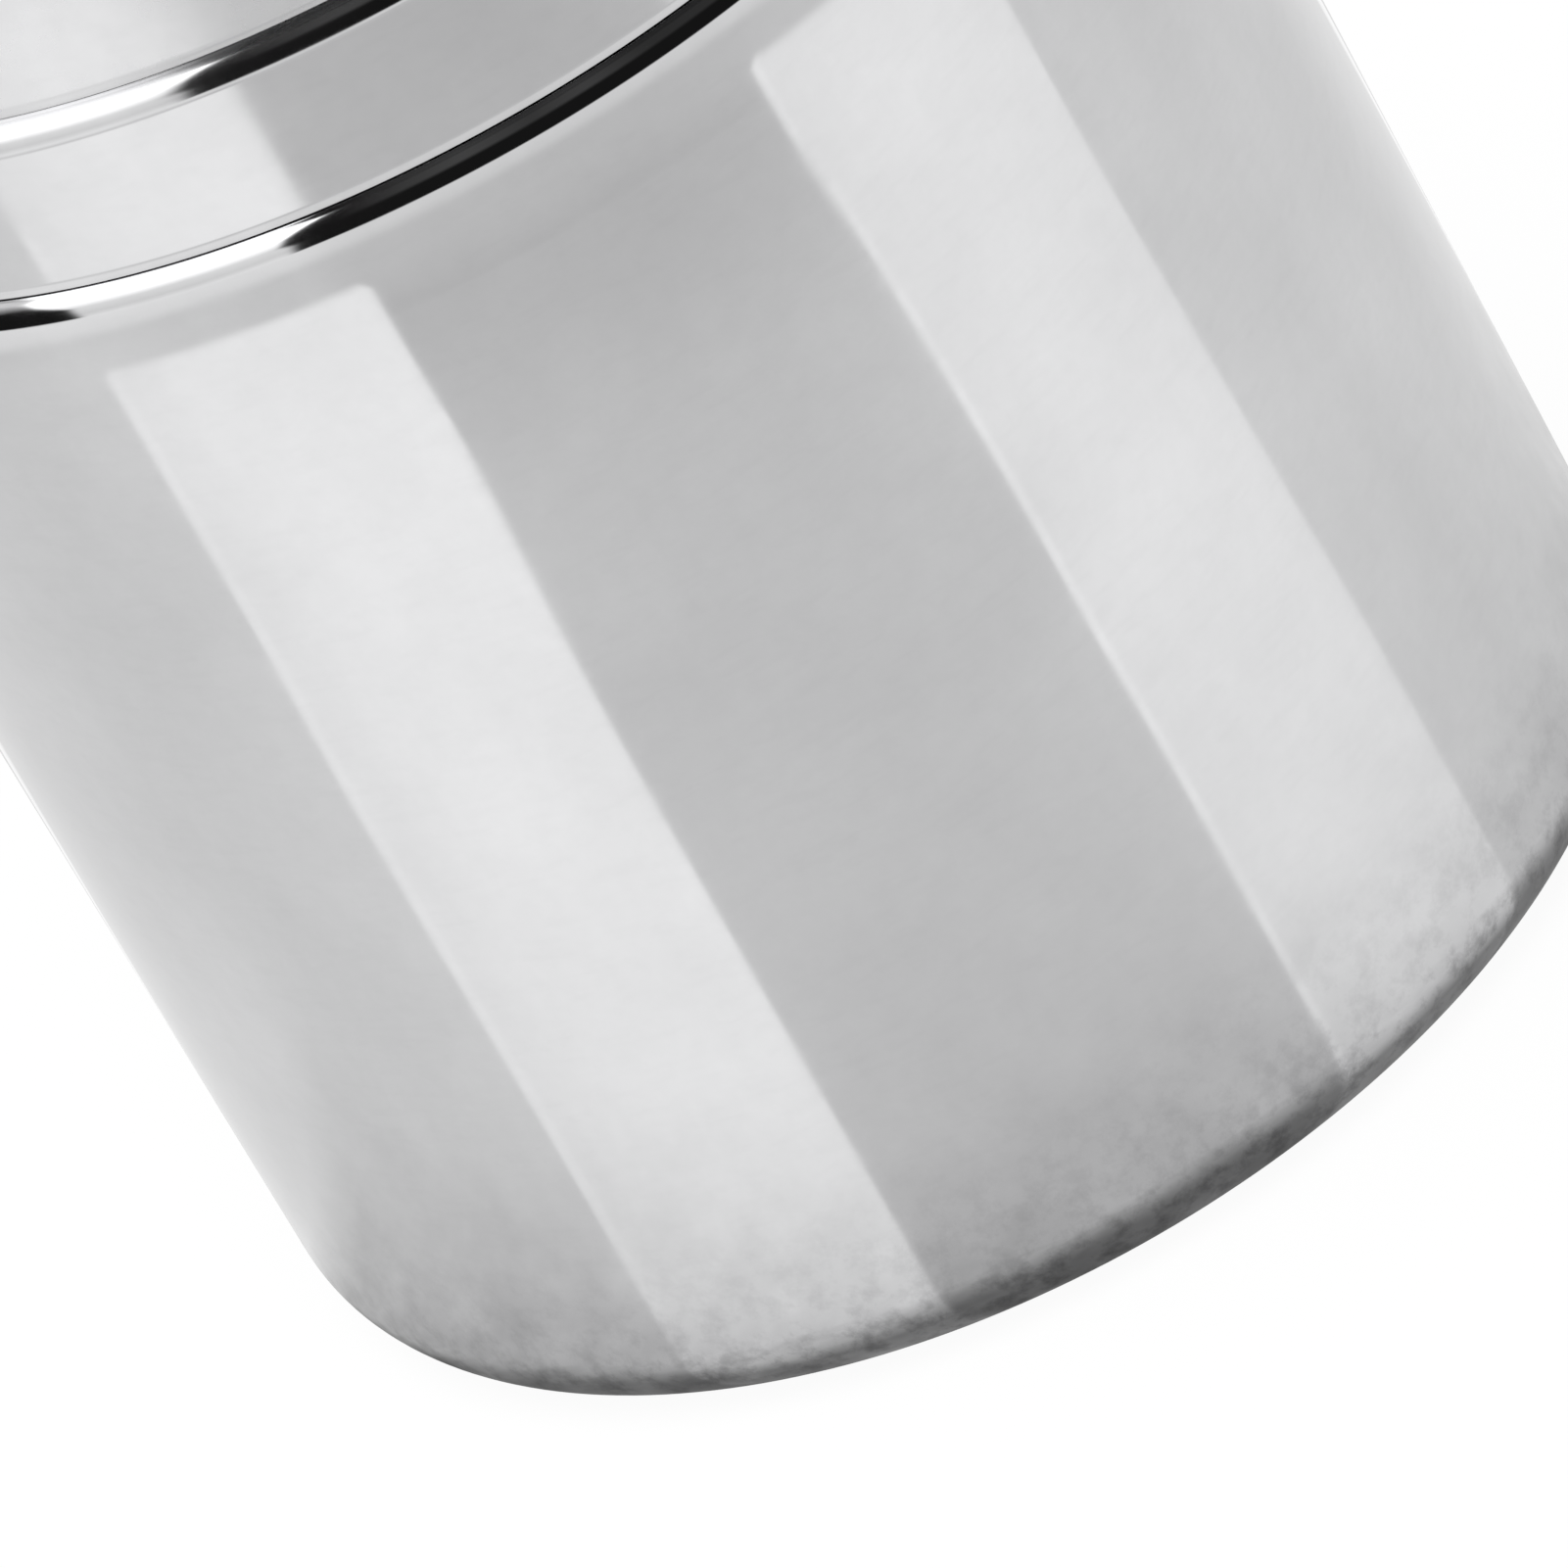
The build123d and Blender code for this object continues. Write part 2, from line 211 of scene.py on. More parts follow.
def rescale(tree, value, start, end, first=0.0, last=1.0, kind="LINEAR"):
    """first where value is at start, last where it is at end, and flat beyond them."""
    return node(
        tree, "ShaderNodeMapRange", {0: value, 1: start, 2: end, 3: first, 4: last},
        interpolation_type=kind,
    )


def ease(tree, value, start, end, first=0.0, last=1.0):
    """The same with a soft start and end."""
    return rescale(tree, value, start, end, first, last, "SMOOTHSTEP")


def window(tree, value, low, high, soft):
    """1 between low and high, falling to 0 over the soft width outside each end."""
    rise = ease(tree, value, low - soft, low)
    fall = ease(tree, value, high, high + soft, 1.0, 0.0)
    return times(tree, rise, fall)


def strip(tree, value, low, high, soft):
    """1 between two sockets low and high, with the middle of each soft edge on them."""
    rise = ease(tree, minus(tree, value, low), -soft / 2, soft / 2)
    fall = ease(tree, minus(tree, high, value), -soft / 2, soft / 2)
    return times(tree, rise, fall)


def curve(tree, value, stops):
    """A line through stops of place and height, flat beyond its ends."""
    low, high = stops[0][0], stops[-1][0]
    heights = [height for _, height in stops]
    bottom, top = min(heights), max(heights)
    part = rescale(tree, value, low, high)
    ramp = tree.nodes.new("ShaderNodeValToRGB")
    tree.links.new(part, ramp.inputs[0])
    places = ramp.color_ramp.elements
    while len(places) < len(stops):
        places.new(0.5)
    for place, (at, height) in zip(places, stops):
        place.position = (at - low) / (high - low)
        place.color = ((height - bottom) / (top - bottom),) * 3 + (1,)
    return plus(tree, times(tree, ramp.outputs[0], top - bottom), bottom)


def axes_of(tree, vector):
    """The x, y and z sockets of a vector."""
    split = tree.nodes.new("ShaderNodeSeparateXYZ")
    tree.links.new(vector, split.inputs[0])
    return split.outputs


def seen_from_front(tree, vector):
    """A vector turned so that the photograph's camera stands in front, at -Y."""
    return node(
        tree, "ShaderNodeMapping",
        {"Vector": vector, "Rotation": (0, 0, radians(VIEW_SIDE))}, vector_type="POINT",
    )


def own_place(tree):
    """The piece's own coordinates."""
    return tree.nodes.new("ShaderNodeTexCoord").outputs["Object"]


def noise(tree, size_mm, detail=2.0, stretch=(1, 1, 1), soft=0.5):
    """Noise whose blotches are about size_mm wide, on the piece's own coordinates."""
    scaled = node(
        tree, "ShaderNodeMapping", {"Vector": own_place(tree), "Scale": stretch},
        vector_type="POINT",
    )
    return node(
        tree, "ShaderNodeTexNoise",
        {"Vector": scaled, "Scale": 1 / (size_mm * MM), "Detail": detail, "Roughness": soft},
    )


def spread(tree, value, low, high):
    """Stretches a noise from its usual 0.3 to 0.7 onto low to high."""
    return rescale(tree, value, 0.3, 0.7, low, high)


def new_material(name):
    material = bpy.data.materials.new(name)
    material.use_nodes = True
    tree = material.node_tree
    tree.nodes.clear()
    shader = tree.nodes.new("ShaderNodeBsdfPrincipled")
    out = tree.nodes.new("ShaderNodeOutputMaterial")
    tree.links.new(shader.outputs[0], out.inputs[0])
    return material, tree, shader


# Materials

# Patterns of the polished steel: their widths in mm, and how far they go
PATCH_MM = 9.0           # broad patches, lighter and darker by PATCH_CHANGE
PATCH_CHANGE = 0.03
MOTTLE_MM = 1.3
MOTTLE_MOST = 0.065
MARK_MM = 2.4            # marks stretched round the piece
MARK_MOST = 0.035
STAIN_SHARE = 0.6        # brightness left where mottle or marks are full
CLOUD_MM = 3.5           # clouds in the polish
WAVE_MM = 14.0           # waves of the drawn sheet
# Dark, rougher spots on the steel, denser towards the foot: their size, colour, added roughness
# and share by height
FOOT_SPOT_MM = 1.5
FOOT_SPOT_COLOUR = "#3C3C3E"
FOOT_SPOT_ROUGH = 0.25       # roughness that full spots add
FOOT_SPOTS_BY_HEIGHT = (
    (1.0 * MM, 1.0), (3.0 * MM, 0.9), (4.5 * MM, 0.35), (8.0 * MM, 0.15), (12.0 * MM, 0.0),
)


def steel_tone(tree, colour):
    """The steel's colour with its patches, mottle and marks."""
    darker = [c * (1 - PATCH_CHANGE) for c in colour]
    lighter = [min(c * (1 + PATCH_CHANGE), 1) for c in colour]
    stain = [c * STAIN_SHARE for c in colour]
    patches = spread(tree, noise(tree, PATCH_MM, 3.0), 0.0, 1.0)
    mottle = spread(tree, noise(tree, MOTTLE_MM, 4.0, soft=0.65), 0.0, MOTTLE_MOST)
    round_marks = noise(tree, MARK_MM, 2.0, stretch=(1, 1, 4))
    marks = rescale(tree, round_marks, 0.5, 0.7, 0.0, MARK_MOST)
    tone = colour_mix(tree, patches, darker, lighter)
    tone = colour_mix(tree, mottle, tone, stain)
    return colour_mix(tree, marks, tone, stain)


def dark_foot_spots(tree, most):
    """Where the dark, rougher spots lie, up to most at the foot's lowest edge."""
    spotted = rescale(tree, noise(tree, FOOT_SPOT_MM, 6.0, soft=0.7), 0.46, 0.64, 0.0, most)
    height = axes_of(tree, own_place(tree))["Z"]
    return times(tree, spotted, curve(tree, height, FOOT_SPOTS_BY_HEIGHT))


def polished_steel(name, hex_colour, rough, rough_change, wave_mm, foot_spot_most=0.0, twist=0.0):
    """Stainless steel 18/8, drawn and mirror polished: clear reflections with a soft edge.

    The polish leaves cloudy patches a few millimetres wide, a fine mottle and faint marks
    that run round the piece. The drawn sheet is never quite true, so long reflections waver
    a little, and a spun piece may mirror everything a few degrees to one side. Dark, rougher
    spots may be laid on, denser towards the foot.
    """
    material, tree, shader = new_material(name)
    tone = steel_tone(tree, linear(hex_colour)[:3])
    cloud = noise(tree, CLOUD_MM, 4.0, soft=0.6)
    polish = spread(tree, cloud, rough, rough + rough_change)
    if foot_spot_most:
        spotted = dark_foot_spots(tree, foot_spot_most)
        tone = colour_mix(tree, spotted, tone, linear(FOOT_SPOT_COLOUR)[:3])
        polish = plus(tree, polish, times(tree, spotted, FOOT_SPOT_ROUGH))
    tree.links.new(tone, shader.inputs["Base Color"])
    tree.links.new(polish, shader.inputs["Roughness"])
    shader.inputs["Metallic"].default_value = 1.0
    plain = tree.nodes.new("ShaderNodeNewGeometry").outputs["Normal"]
    spun = node(
        tree, "ShaderNodeVectorRotate", {"Vector": plain, "Angle": radians(twist)},
        rotation_type="Z_AXIS",
    )
    sheet_wave = noise(tree, WAVE_MM, 2.0)
    bump = node(
        tree, "ShaderNodeBump",
        {"Strength": 1.0, "Distance": wave_mm * MM, "Height": sheet_wave, "Normal": spun},
    )
    tree.links.new(bump, shader.inputs["Normal"])
    return material


def add_grain(tree, shader, size_mm, rough, rough_change, strength, depth_mm):
    """A fine relief that also changes the roughness."""
    grain = noise(tree, size_mm, 3.0)
    polish = spread(tree, grain, rough, rough + rough_change)
    tree.links.new(polish, shader.inputs["Roughness"])
    bump = node(
        tree, "ShaderNodeBump",
        {"Strength": strength, "Distance": depth_mm * MM, "Height": grain},
    )
    tree.links.new(bump, shader.inputs["Normal"])


def satin_steel(name, hex_colour, rough):
    """Stainless steel 18/8, punched and tumbled: soft highlights and a fine grit."""
    material, tree, shader = new_material(name)
    shader.inputs["Metallic"].default_value = 1.0
    shader.inputs["Base Color"].default_value = linear(hex_colour)
    add_grain(tree, shader, 0.5, rough, 0.12, strength=0.5, depth_mm=0.01)
    return material


def moulded_plastic(name, hex_colour, rough, glow):
    """Injection moulded plastic or silicone: milky, with a faint grain from the mould."""
    material, tree, shader = new_material(name)
    shader.inputs["Base Color"].default_value = linear(hex_colour)
    shader.inputs["Subsurface Weight"].default_value = glow
    shader.inputs["Subsurface Radius"].default_value = (1.5 * MM,) * 3
    add_grain(tree, shader, 0.6, rough, 0.15, strength=0.4, depth_mm=0.02)
    return material


cup_steel = polished_steel(
    "polished stainless steel, cup", "#CBCBCC",
    rough=0.045, rough_change=0.045, wave_mm=0.004, foot_spot_most=0.45,
)
collar_steel = polished_steel(
    "polished stainless steel, collar", "#CBCBCC",
    rough=0.08, rough_change=0.07, wave_mm=0.004, twist=2.0,
)
lid_steel = polished_steel(
    "polished stainless steel, lid", "#D4D4D5",
    rough=0.24, rough_change=0.06, wave_mm=0.003, twist=3.0,
)
plate_steel = satin_steel("satin stainless steel, shaker plate", "#BEBEC0", rough=0.22)
hinge_steel = satin_steel("tumbled stainless steel, hinge", "#BDBDBF", rough=0.16)
insert_plastic = moulded_plastic(
    "polypropylene, thread insert", "#E6E6E1", rough=0.35, glow=0.25
)
seal_silicone = moulded_plastic("silicone rubber, seal", "#DCDCD6", rough=0.5, glow=0.35)

# Pieces


def edge_points(radius, low):
    """The lower edge of a sheet wall, from its inner face round to its flared outer face."""
    low -= EDGE_DROP
    turn = radians(FLARE_TURN)
    tip = radius + FLARE_CURVE * (1 - cos(turn)) + FLARE_H * sin(turn) / cos(turn)
    points = [(radius - SHEET, low)]
    points += arc((tip - EDGE_ROUND, low + EDGE_ROUND), EDGE_ROUND, -90, FLARE_TURN, 8)
    start = low + EDGE_ROUND + FLARE_H
    middle = (radius + FLARE_CURVE, start + FLARE_CURVE * sin(turn))
    return points + arc(middle, FLARE_CURVE, 180 + FLARE_TURN, 180, 8)


def shoulder_points(inset):
    """The cup wall's inward curve and the shoulder's rounding, inset from the outer face."""
    turn = radians(DRAW_IN_TURN)
    more = DRAW_IN_R - STEP_ROUND
    corner = (body_r - DRAW_IN_R + more * cos(turn), SHOULDER_Z - STEP_ROUND)
    middle = (body_r - DRAW_IN_R, corner[1] - more * sin(turn))
    points = arc(middle, DRAW_IN_R - inset, 0, DRAW_IN_TURN, 16)
    return points + arc(corner, STEP_ROUND - inset, DRAW_IN_TURN, 90, 24)[1:]


def take_thread_ridges(shape, neck_r):
    """The ridges that stand out of the cup's neck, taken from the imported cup."""
    shape.from_mesh(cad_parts["body_cup"].data)
    low = SHOULDER_Z + 2 * SHEET
    tips = {v for v in shape.verts if v.co.z > low and v.co.xy.length > neck_r + 0.1 * MM}
    rest = [v for v in shape.verts if not any(tips & set(f.verts) for f in v.link_faces)]
    bmesh.ops.delete(shape, geom=rest, context="VERTS")
    plain = [f for f in shape.faces if not tips & set(f.verts)]
    bmesh.ops.delete(shape, geom=plain, context="FACES")


def make_cup(shape):
    t = SHEET
    neck_r = body_r - NECK_STEP
    top = cup_high.z
    take_thread_ridges(shape, neck_r)
    points = [(0, 0), (RIB_R - RIB_HALF, 0)]
    points += [(RIB_R - RIB_HALF / 2, RIB_H), (RIB_R + RIB_HALF / 2, RIB_H)]
    points += [(RIB_R + RIB_HALF, 0)]
    points += arc((body_r - BASE_ROUND, BASE_ROUND), BASE_ROUND, -90, 0, 24)
    points += shoulder_points(0)
    points += arc((neck_r + t, SHOULDER_Z + t), t, -90, -180, 8)
    points += arc((neck_r - t, top - t), t, 0, 90, 8)
    points += [(neck_r - NECK_LIP, top), (neck_r - NECK_LIP, top - t)]
    points += [(neck_r - t, top - t), (neck_r - t, SHOULDER_Z - t)]
    points += shoulder_points(t)[::-1]
    points += arc((body_r - BASE_ROUND, BASE_ROUND), BASE_ROUND - t, 0, -90, 20)
    points += [(RIB_R + RIB_HALF, t), (RIB_R + RIB_HALF / 2, RIB_H + t)]
    points += [(RIB_R - RIB_HALF / 2, RIB_H + t), (RIB_R - RIB_HALF, t), (0, t)]
    spin_outline(shape, points)


def make_collar(shape):
    t = SHEET
    top = SHOULDER_Z + COLLAR_H
    high = collar_high.z
    corner = (collar_r - STEP_ROUND, top - STEP_ROUND)
    spigot = lid_r - t - SPIGOT_GAP
    mouth = spigot - t - MOUTH_FLANGE
    points = edge_points(collar_r, collar_low.z)
    points += arc(corner, STEP_ROUND, 0, 90, 24)
    points += [(spigot, top)]
    points += arc((spigot - t, high - t), t, 0, 90, 8)
    points += [(mouth, high), (mouth, high - t), (spigot - t, high - t)]
    points += [(spigot - t, top - t)]
    points += arc(corner, STEP_ROUND - t, 90, 0, 12)
    spin_outline(shape, points)


def shell_points(inset):
    """The lid's shoulder and crown, inset from its outer face."""
    turn = radians(CROWN_TURN)
    middle = (lid_r - LID_SHOULDER_R, lid_low.z + LID_WALL_H)
    join_r = middle[0] + LID_SHOULDER_R * cos(turn)
    join_z = middle[1] + LID_SHOULDER_R * sin(turn)
    crown_r = join_r / cos(turn)
    crown = (0, join_z - crown_r * sin(turn))
    points = arc(middle, LID_SHOULDER_R - inset, 0, CROWN_TURN, 32)
    return points + arc(crown, crown_r - inset, CROWN_TURN, 90, 32)[1:]


def make_lid(shape):
    points = edge_points(lid_r, lid_low.z)
    points += shell_points(0)
    points += shell_points(SHEET)[::-1]
    spin_outline(shape, points)


def merged_copy(source):
    """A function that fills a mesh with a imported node's own shape, its corners joined."""
    def fill(shape):
        shape.from_mesh(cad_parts[source].data)
    return fill


new_piece("cup", make_cup, "cup", cup_steel, ["body_cup"])
new_piece("collar", make_collar, "collar", collar_steel, ["collar_ring"])
new_piece("lid", make_lid, "lid", lid_steel, ["lid_shell"])

COPIES = (
    ("insert", "thread_insert", "collar", "insert_plastic", insert_plastic),
    ("seal", "seal_ring", "seal", "seal_silicone", seal_silicone),
    ("plate", "shaker_plate", "collar", "plate_steel", plate_steel),
    ("bracket", "hinge_bracket", "collar", "hinge_steel", hinge_steel),
    ("bracket_rivet_pair", "bracket_rivets", "collar", "hinge_steel", hinge_steel),
    ("pin", "hinge_pin", "collar", "hinge_steel", hinge_steel),
    ("leaf", "hinge_leaf", "lid", "hinge_steel", hinge_steel),
    ("leaf_rivet_pair", "leaf_rivets", "lid", "hinge_steel", hinge_steel),
    ("tab", "thumb_tab", "lid", "lid_steel", lid_steel),
)
for name, source, body, slot, material in COPIES:
    new_piece(name, merged_copy(source), body, material, [source], SHARP_COPIED)

# Table under the shaker

TABLE_R = 4.0
TABLE_COLOUR = "#F4F4F4"
TABLE_GLOW = 0.95        # share of the table that shows as plain white to the camera

# Painted shade round the shaker's foot, seen only in the steel's reflection of the table, with
# x to the right and y away as the camera stands
FOOT_DARK_REACH = 11.7 * MM
FOOT_DARK_PATCH_MM = 6.0
FOOT_DARK_BY_X = ((-0.004, 1.0), (0.016, 0.72), (0.045, 0.55))
LEFT_BY_X = ((-0.03, 1.0), (-0.01, 0.0))
DARK_LEFT_BY_Y = ((-0.003, 1.0), (0.005, 0.15))


def painted_foot_shade(tree):
    """Painted shade on the table's mirror image: how much it is darkened, falling off away from
    the foot.
    """
    place = own_place(tree)
    length = tree.nodes.new("ShaderNodeVectorMath")
    length.operation = "LENGTH"
    tree.links.new(place, length.inputs[0])
    away = plus(tree, length.outputs["Value"], -body_r)
    dark = maths(tree, "EXPONENT", times(tree, away, -1 / FOOT_DARK_REACH))
    patches = noise(tree, FOOT_DARK_PATCH_MM, 3.0, soft=0.6)
    dark = times(tree, dark, spread(tree, patches, 0.4, 0.7))
    x, y, _ = axes_of(tree, seen_from_front(tree, place))
    dark = times(tree, dark, curve(tree, x, FOOT_DARK_BY_X))
    left = curve(tree, x, LEFT_BY_X)
    return times(tree, dark, blend(tree, left, 1.0, curve(tree, y, DARK_LEFT_BY_Y)))


def make_floor():
    """Plain white table, which keeps a soft shadow of the shaker.

    The steel mirrors the studio below the horizon through it, with a painted shade round the
    shaker's foot laid over that.
    """
    shape = bmesh.new()
    bmesh.ops.create_circle(shape, cap_ends=True, segments=96, radius=TABLE_R)
    mesh = bpy.data.meshes.new("table")
    shape.to_mesh(mesh)
    shape.free()
    material, tree, shader = new_material("matt white table")
    shader.inputs["Base Color"].default_value = linear(TABLE_COLOUR)
    shader.inputs["Roughness"].default_value = 0.9
    glow = node(tree, "ShaderNodeEmission", {"Color": (1, 1, 1, 1), "Strength": 1.0})
    rays = tree.nodes.new("ShaderNodeLightPath").outputs
    share = times(tree, rays["Is Camera Ray"], TABLE_GLOW)
    table = node(tree, "ShaderNodeMixShader", {0: share, 1: shader.outputs[0], 2: glow})
    # painted shade round the foot, which only glossy rays see through the table
    tint = minus(tree, 1.0, painted_foot_shade(tree))
    through = node(tree, "ShaderNodeBsdfTransparent", {"Color": tint})
    table = node(tree, "ShaderNodeMixShader", {0: rays["Is Glossy Ray"], 1: table, 2: through})
    out = next(n for n in tree.nodes if n.type == "OUTPUT_MATERIAL")
    tree.links.new(table, out.inputs[0])
    mesh.materials.append(material)
    floor = bpy.data.objects.new("table", mesh)
    bpy.context.scene.collection.objects.link(floor)


# Studio that the steel mirrors: a pale table, two tall soft boxes in front and a dark upper
# room. A place in it is named by the patch of steel that mirrors it to the camera: side and
# up are that patch's turn and tilt in degrees, so that up is 0 on the shaker's upright walls.

# Brightness of the table, and how much of it is taken off in the middle
TABLE_BY_SIDE = (
    (-84, 0.93), (-76, 0.945), (-70, 0.967), (-62, 0.975), (-56, 0.96), (-52, 0.955),
    (-46, 0.975), (-41, 1.02), (-36, 1.03), (-20, 1.0), (-16, 0.90), (-6, 0.87),
    (0, 0.862), (7, 0.868), (14, 0.90), (20, 0.95), (36, 0.98), (42, 1.0), (46, 0.99),
    (52, 0.965), (58, 0.99), (64, 0.975), (70, 0.965), (78, 0.98), (84, 0.95),
)
TABLE_BY_UP = (
    (-31, 0.43), (-21, 0.46), (-16, 0.56), (-11, 0.74), (-6, 0.93), (-2, 1.0),
    (8, 0.99), (9.6, 0.95), (10.4, 1.13), (13.5, 1.2),
)
DIM_BY_UP = (
    (1.3, 0.0), (1.75, 0.09), (2.0, 0.13), (2.2, 0.165), (2.5, 0.165), (3.2, 0.15),
    (5, 0.115), (6.5, 0.09), (8, 0.075), (9.6, 0.04), (10.4, 0.0),
)
DIM_BY_SIDE = ((-38, 0.1), (-18, 1.0), (16, 1.0), (42, 0.15))

# The two soft boxes below the horizon: their sides by up, bent a little as the cup's wall
# bends them, and their light
LEFT_BOX_LOW = (
    (-0.4, -38.8), (0.5, -39.1), (1.0, -39.2), (1.6, -38.8), (5.4, -38.8), (7.4, -37.4),
)
LEFT_BOX_HIGH = (
    (-0.4, -16.3), (0.5, -16.2), (1.0, -15.9), (1.6, -15.05), (1.9, -15.4), (5.4, -15.4),
    (7.4, -16.8),
)
RIGHT_BOX_LOW = (
    (-0.4, 19.0), (0.05, 18.7), (0.5, 18.8), (1.0, 18.5), (1.6, 17.95), (2.0, 17.0),
    (5.4, 17.0), (7.4, 18.4),
)
RIGHT_BOX_HIGH = ((-0.4, 40.5), (0.5, 39.8), (1.0, 39.6), (1.6, 39.2))
LEFT_BOX_LIGHT = (
    (-39, 1.25), (-36, 1.26), (-33, 1.31), (-27, 1.35), (-20, 1.335), (-16, 1.34),
)
RIGHT_BOX_LIGHT = ((17, 1.19), (20, 1.215), (27, 1.27), (40, 1.23))
BOXES_BY_UP = (
    (-31, 0.43), (-26, 0.42), (-21, 0.63), (-16, 0.83), (-11, 0.94), (-6, 0.97), (-2.5, 1.0),
)
BOXES_UP = (-90, 5.5, 2.6)       # up from, up to, and the fade at the ends
LINE_SOFT = 0.4

# The upper room: one tall soft box and a faintly lit ceiling
HIGH_BOX_LOW = ((15, -38.0), (34, -39.0), (46, -42.5), (58, -45.0))
HIGH_BOX_HIGH = (
    (15, -19.5), (28, -19.5), (34, -20.5), (44, -20.3), (50, -19.6), (55, -18.8),
    (61, -17.5), (90, -16.0),
)
HIGH_BOX_LIGHT = ((14, 1.2), (22, 1.0), (34, 1.15), (42, 1.8), (50, 2.6))
ROOM_LIGHT = 0.012
CEILING_UP = (46, 57, 8.0)
CEILING_BY_SIDE = (
    (-16, 0.0), (-10, 0.05), (-5, 0.075), (1, 0.045), (6, 0.065), (12, 0.03), (60, 0.05),
)

# Where the mirrored table ends and the upper room starts
HORIZON_LOW = 13.5
HORIZON_HIGH = 16.5

# Pale wall and table behind the shaker, by degrees round from the camera and above level
BEHIND_BY_TURN = ((95, 0.0), (125, 1.0))
BACK_WALL_RISE = (-10, 48, 14.0)
BACK_TABLE_RISE = (-90, -12, 8.0)
BACK_TABLE_LIGHT = 0.8


def mirrored_table(tree, side, up):
    table = curve(tree, side, TABLE_BY_SIDE)
    table = times(tree, table, curve(tree, up, TABLE_BY_UP))
    dim = times(tree, curve(tree, up, DIM_BY_UP), curve(tree, side, DIM_BY_SIDE))
    return times(tree, table, minus(tree, 1.0, dim))


def mirrored_box(tree, side, up, low_by_up, high_by_up, light_by_side, soft, line):
    """A soft box, with a bright line along its left side: from, to and light."""
    low = curve(tree, up, low_by_up)
    box = strip(tree, side, low, curve(tree, up, high_by_up), soft)
    edge = strip(tree, side, plus(tree, low, line[0]), plus(tree, low, line[1]), LINE_SOFT)
    light = times(tree, box, curve(tree, side, light_by_side))
    return plus(tree, light, times(tree, edge, line[2]))


def mirrored_boxes(tree, side, up):
    left = mirrored_box(
        tree, side, up, LEFT_BOX_LOW, LEFT_BOX_HIGH, LEFT_BOX_LIGHT,
        soft=0.5, line=(0.3, 1.2, 0.06),
    )
    right = mirrored_box(
        tree, side, up, RIGHT_BOX_LOW, RIGHT_BOX_HIGH, RIGHT_BOX_LIGHT,
        soft=0.6, line=(0.2, 0.9, 0.13),
    )
    boxes = times(tree, plus(tree, left, right), window(tree, up, *BOXES_UP))
    return times(tree, boxes, curve(tree, up, BOXES_BY_UP))


def upper_room(tree, side, up):
    low = curve(tree, up, HIGH_BOX_LOW)
    high = curve(tree, up, HIGH_BOX_HIGH)
    box = times(tree, strip(tree, side, low, high, 1.0), curve(tree, up, HIGH_BOX_LIGHT))
    lit = window(tree, up, *CEILING_UP)
    ceiling = times(tree, lit, curve(tree, side, CEILING_BY_SIDE))
    return plus(tree, plus(tree, box, ROOM_LIGHT), ceiling)


def room_with_back(tree, room, x, y, z):
    """Adds the pale wall and table behind, which the shaker's back and flat edges mirror."""
    turn = maths(tree, "ABSOLUTE", degrees_of(tree, x, times(tree, y, -1.0)))
    rise = times(tree, maths(tree, "ARCSINE", z), 180 / pi)
    behind = curve(tree, turn, BEHIND_BY_TURN)
    wall = times(tree, behind, window(tree, rise, *BACK_WALL_RISE))
    back_table = times(tree, behind, window(tree, rise, *BACK_TABLE_RISE))
    return blend(tree, back_table, maths(tree, "MAXIMUM", room, wall), BACK_TABLE_LIGHT)


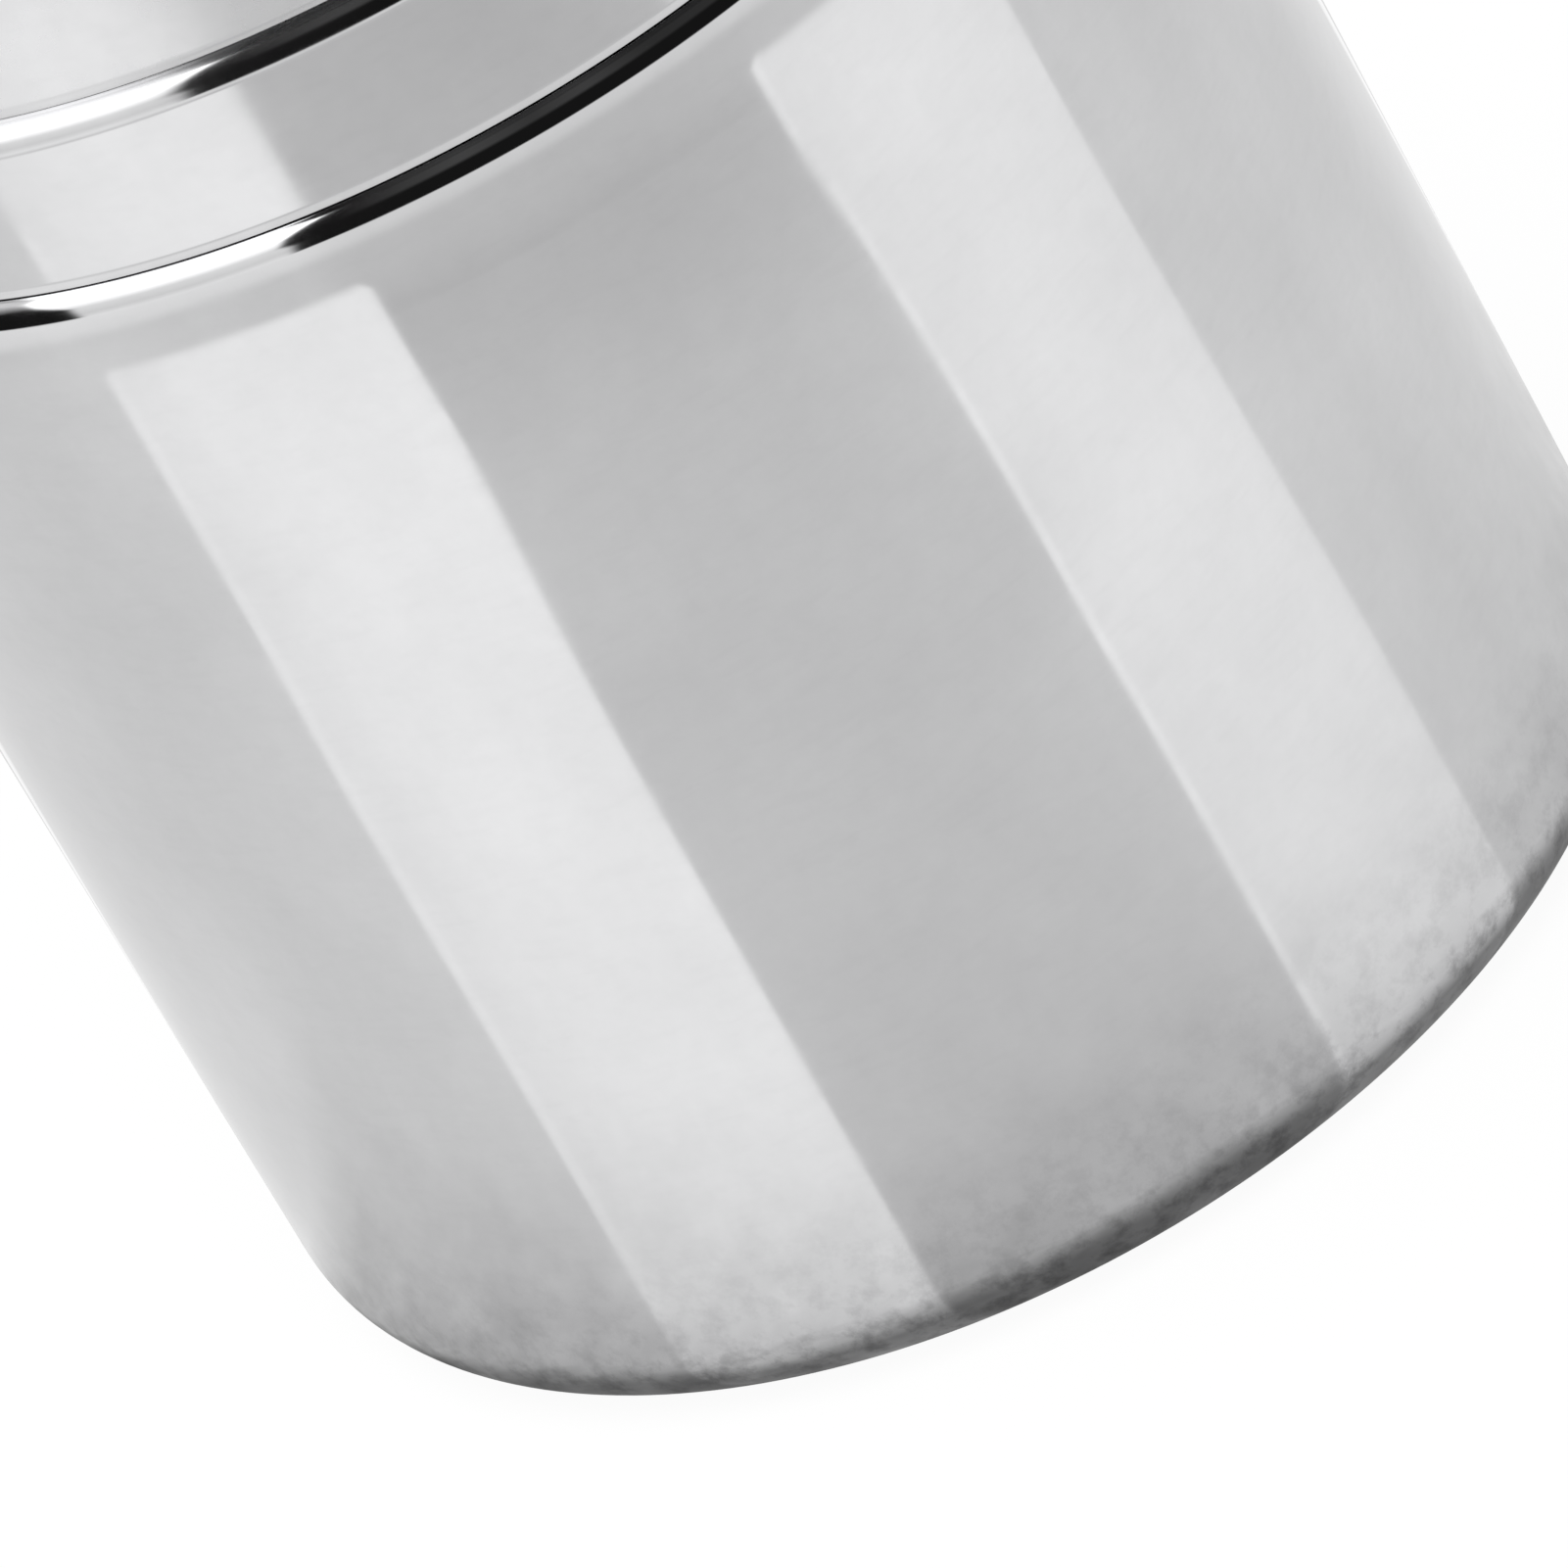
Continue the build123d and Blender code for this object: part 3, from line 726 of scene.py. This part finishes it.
def make_world():
    """The studio as the steel mirrors it, and plain white to the camera."""
    world = bpy.data.worlds.new("studio")
    bpy.context.scene.world = world
    world.use_nodes = True
    tree = world.node_tree
    tree.nodes.clear()
    way = tree.nodes.new("ShaderNodeTexCoord").outputs["Generated"]
    x, y, z = axes_of(tree, seen_from_front(tree, way))
    near = minus(tree, cos(radians(VIEW_UP)), y)
    above = plus(tree, z, sin(radians(VIEW_UP)))
    flat = maths(tree, "SQRT", plus(tree, times(tree, x, x), times(tree, near, near)))
    side = degrees_of(tree, x, near)
    up = degrees_of(tree, above, flat)
    boxes = mirrored_boxes(tree, side, up)
    table = maths(tree, "MAXIMUM", mirrored_table(tree, side, up), boxes)
    room = room_with_back(tree, upper_room(tree, side, up), x, y, z)
    horizon = ease(tree, up, HORIZON_LOW, HORIZON_HIGH)
    light = blend(tree, horizon, table, room)
    seen = tree.nodes.new("ShaderNodeLightPath").outputs["Is Camera Ray"]
    light = blend(tree, seen, light, 1.0)
    glow = node(tree, "ShaderNodeBackground", {"Color": (1, 1, 1, 1), "Strength": light})
    out = tree.nodes.new("ShaderNodeOutputWorld")
    tree.links.new(glow, out.inputs[0])


# Lamp and camera


def make_lamp(name, place, target, size, watts):
    """A round soft lamp that the steel doesn't mirror."""
    lamp = bpy.data.lights.new(name, "AREA")
    lamp.shape = "DISK"
    lamp.size = size
    lamp.energy = watts
    holder = bpy.data.objects.new(name, lamp)
    bpy.context.scene.collection.objects.link(holder)
    holder.location = place
    holder.rotation_euler = (Vector(target) - Vector(place)).to_track_quat("-Z", "Y").to_euler()
    holder.visible_glossy = False
    holder.visible_camera = False


def make_camera():
    """Camera where the photograph's was, worked out from the shaker's own outlines."""
    up, side = radians(VIEW_UP), radians(-VIEW_SIDE)
    look = Vector((0, cos(up), -sin(up)))
    right = Vector((1, 0, 0))
    top = Vector((0, sin(up), cos(up)))
    place = Vector((0, -cos(up), sin(up))) * VIEW_RADII * body_r
    pan, tilt, roll = radians(VIEW_PAN), radians(VIEW_TILT), radians(VIEW_ROLL)
    look, right = cos(pan) * look + sin(pan) * right, cos(pan) * right - sin(pan) * look
    look, top = cos(tilt) * look + sin(tilt) * top, cos(tilt) * top - sin(tilt) * look
    right, top = cos(roll) * right + sin(roll) * top, cos(roll) * top - sin(roll) * right
    turn = Matrix.Rotation(side, 3, "Z")
    axes = Matrix([turn @ right, turn @ top, turn @ -look]).transposed()
    data = bpy.data.cameras.new("camera")
    data.sensor_width = SENSOR
    data.lens = FOCAL_PX / FRAME_PX * SENSOR
    data.clip_start = CLIP_NEAR
    data.clip_end = CLIP_FAR
    camera = bpy.data.objects.new("camera", data)
    bpy.context.scene.collection.objects.link(camera)
    camera.matrix_world = Matrix.Translation(turn @ place) @ axes.to_4x4()
    bpy.context.scene.camera = camera


make_floor()
make_world()
make_lamp(
    "overhead soft lamp", place=(-0.25, -0.35, 0.9), target=(0, 0, 0.03), size=0.7, watts=9.0
)
make_camera()
bpy.context.scene.view_settings.view_transform = "Standard"
